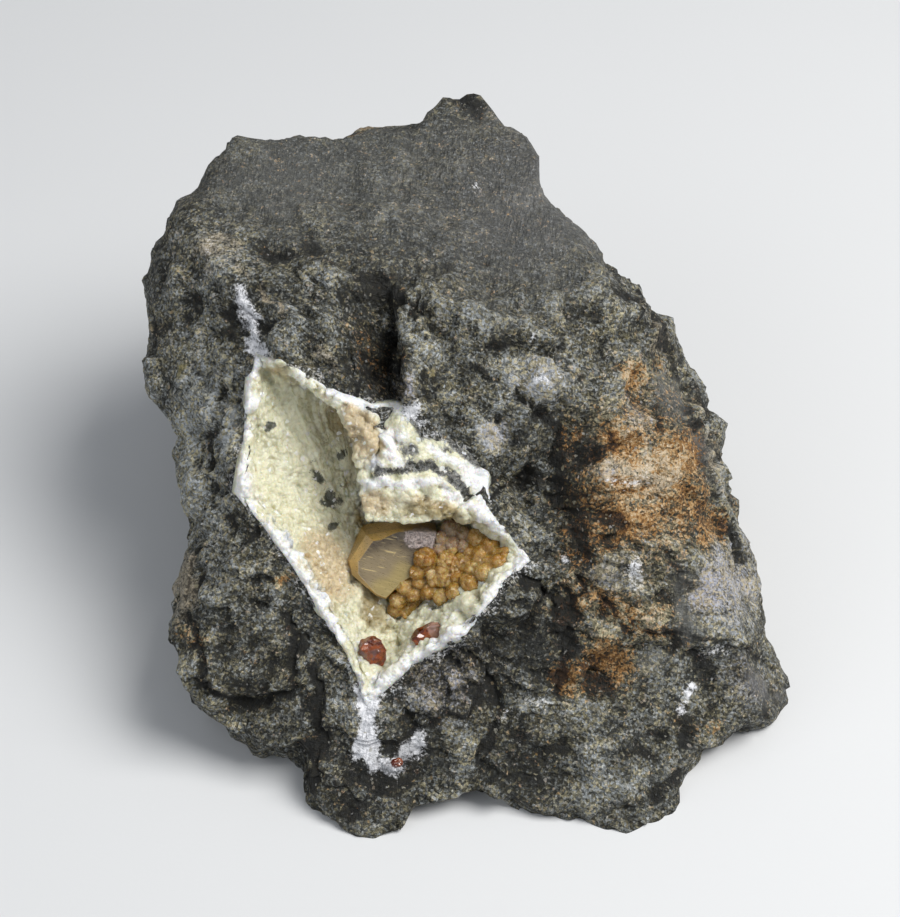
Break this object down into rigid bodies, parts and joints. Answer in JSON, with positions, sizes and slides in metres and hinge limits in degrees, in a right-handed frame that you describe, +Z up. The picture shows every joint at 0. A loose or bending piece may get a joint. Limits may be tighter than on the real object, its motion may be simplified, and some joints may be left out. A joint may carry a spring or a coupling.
{
  "type": "leadhillite mineral specimen",
  "caption": "Hand specimen of dark volcanic rock with an open pocket lined by a cream crystal crust, holding a smoky leadhillite crystal, amber balls and small red crystals.",
  "frame": {"origin": "a point on the flat underside that the rock rests on, near the middle of its footprint", "axes": "+Z up off the resting face, -Y towards the side whose sloping broken face holds the pocket, +X to the right seen from there"},
  "size_m": [0.0809, 0.0854, 0.0483],
  "materials": {
    "dark_rock": "rough broken rock with light grains and rust stains",
    "cream_crust": "drusy, with tiny sparkling faces",
    "smoky_crystal": "glassy to pearly, finely grooved",
    "amber_mineral": "waxy, slightly clear",
    "red_mineral": "glassy"
  },
  "bodies": {
    "root": {"matrix_rock": "dark_rock", "vug_crust": "cream_crust", "leadhillite_crystal": "smoky_crystal", "amber_balls": "amber_mineral", "red_crystal_lower": "red_mineral", "red_crystal_right": "red_mineral", "red_crystal_vein": "red_mineral"}
  },
  "joints": []
}
